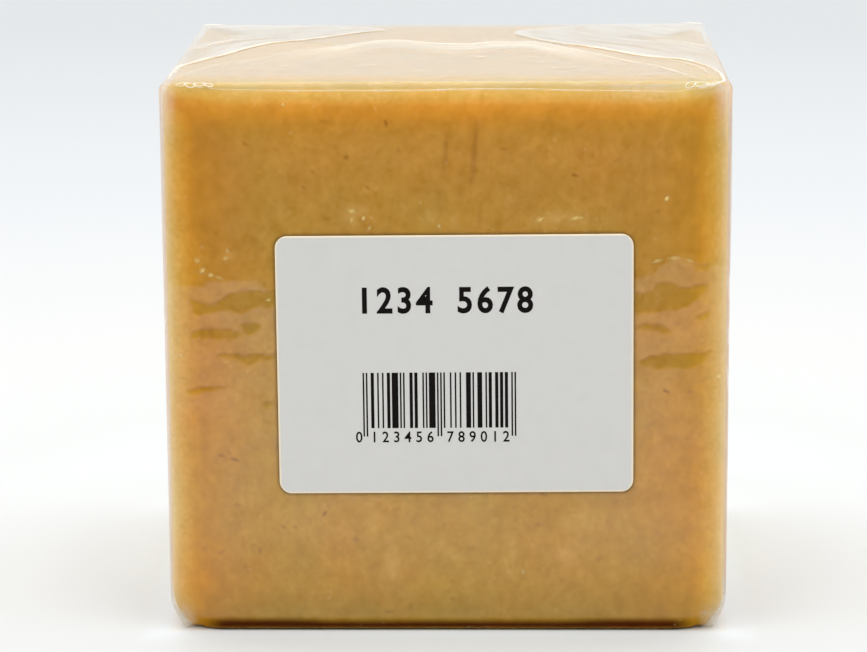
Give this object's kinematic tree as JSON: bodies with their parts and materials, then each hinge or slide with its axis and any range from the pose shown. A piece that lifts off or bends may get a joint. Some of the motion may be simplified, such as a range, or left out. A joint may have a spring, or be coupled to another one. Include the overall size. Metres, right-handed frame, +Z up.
{
  "type": "film-wrapped tofu block",
  "caption": "Firm tofu block tightly overwrapped in clear film, with parcel folds on its top and a white paper price label on its front.",
  "frame": {"origin": "centre of the bounding box, at the base that the block stands on", "axes": "+Z up, -Y out of the labelled wall, +X to the right of someone who reads the label"},
  "size_m": [0.0922, 0.0794, 0.0915],
  "materials": {
    "tofu": "moist satin",
    "film": "clear glossy film",
    "label_paper": "coated paper",
    "label_ink": "matte print"
  },
  "bodies": {
    "root": {"wrapped_block": "tofu", "label": "label_paper"}
  },
  "joints": []
}
